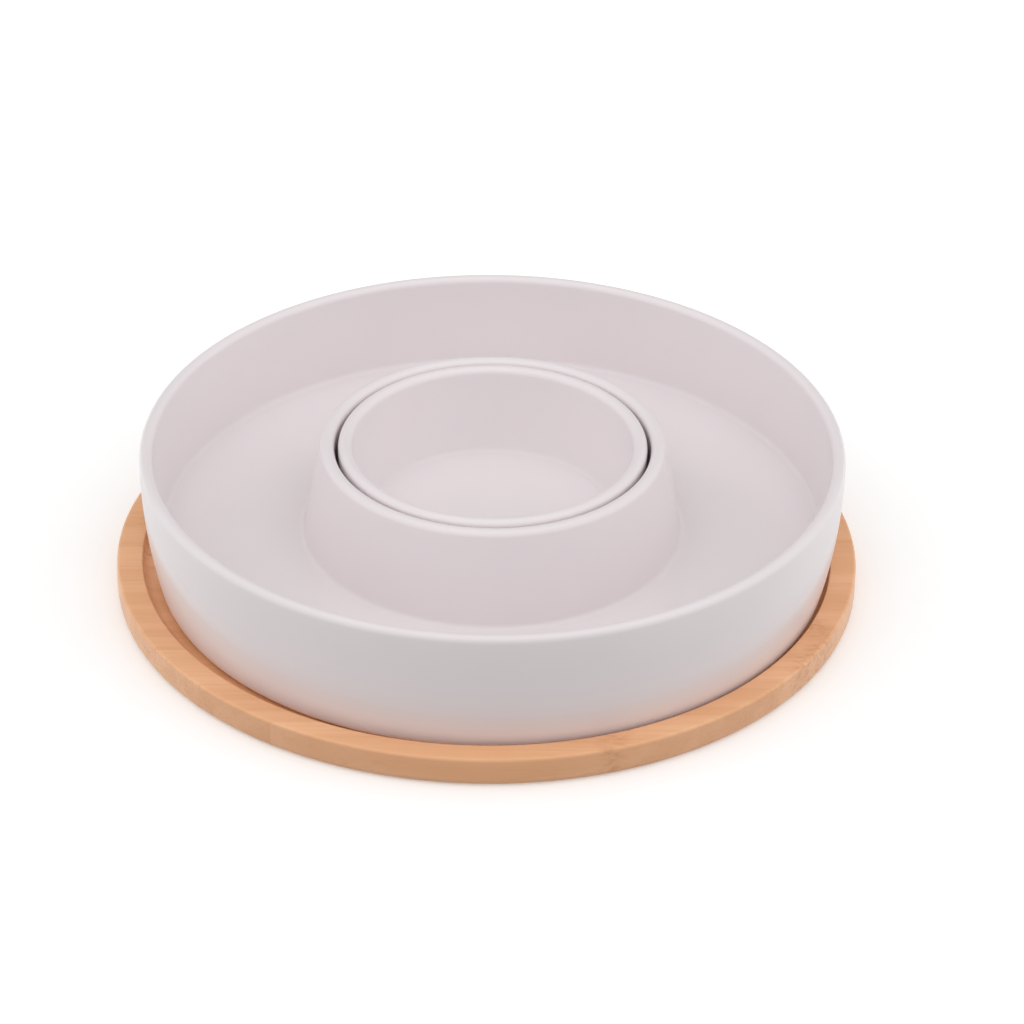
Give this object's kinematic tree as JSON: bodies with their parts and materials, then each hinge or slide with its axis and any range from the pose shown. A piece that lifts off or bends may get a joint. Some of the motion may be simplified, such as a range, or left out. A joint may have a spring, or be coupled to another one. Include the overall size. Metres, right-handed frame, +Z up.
{
  "type": "chip and dip server",
  "caption": "Round porcelain chip dish with a raised centre well, a nesting dip bowl and a recessed bamboo tray.",
  "frame": {"origin": "centre of the tray's flat underside, which stands on the table", "axes": "+Z up; +X along the tray's bamboo strips; +Y across the strips, towards the back"},
  "size_m": [0.23, 0.23, 0.05],
  "materials": {
    "porcelain": "glossy white glaze",
    "bamboo": "satin lacquer over light carbonised bamboo"
  },
  "bodies": {
    "tray": {"tray_strip_01": "bamboo", "tray_strip_02": "bamboo", "tray_strip_03": "bamboo", "tray_strip_04": "bamboo", "tray_strip_05": "bamboo", "tray_strip_06": "bamboo", "tray_strip_07": "bamboo", "tray_strip_08": "bamboo", "tray_strip_09": "bamboo", "tray_strip_10": "bamboo", "tray_strip_11": "bamboo", "tray_strip_12": "bamboo"},
    "dish": {"dish": "porcelain"},
    "dip_bowl": {"dip_bowl": "porcelain"}
  },
  "joints": [
    {"name": "dish_lift", "type": "slide", "parent": "tray", "child": "dish", "axis": [0, 0, 1], "range_m": [0, 0.06]},
    {"name": "bowl_lift", "type": "slide", "parent": "dish", "child": "dip_bowl", "axis": [0, 0, 1], "range_m": [0, 0.06]}
  ]
}
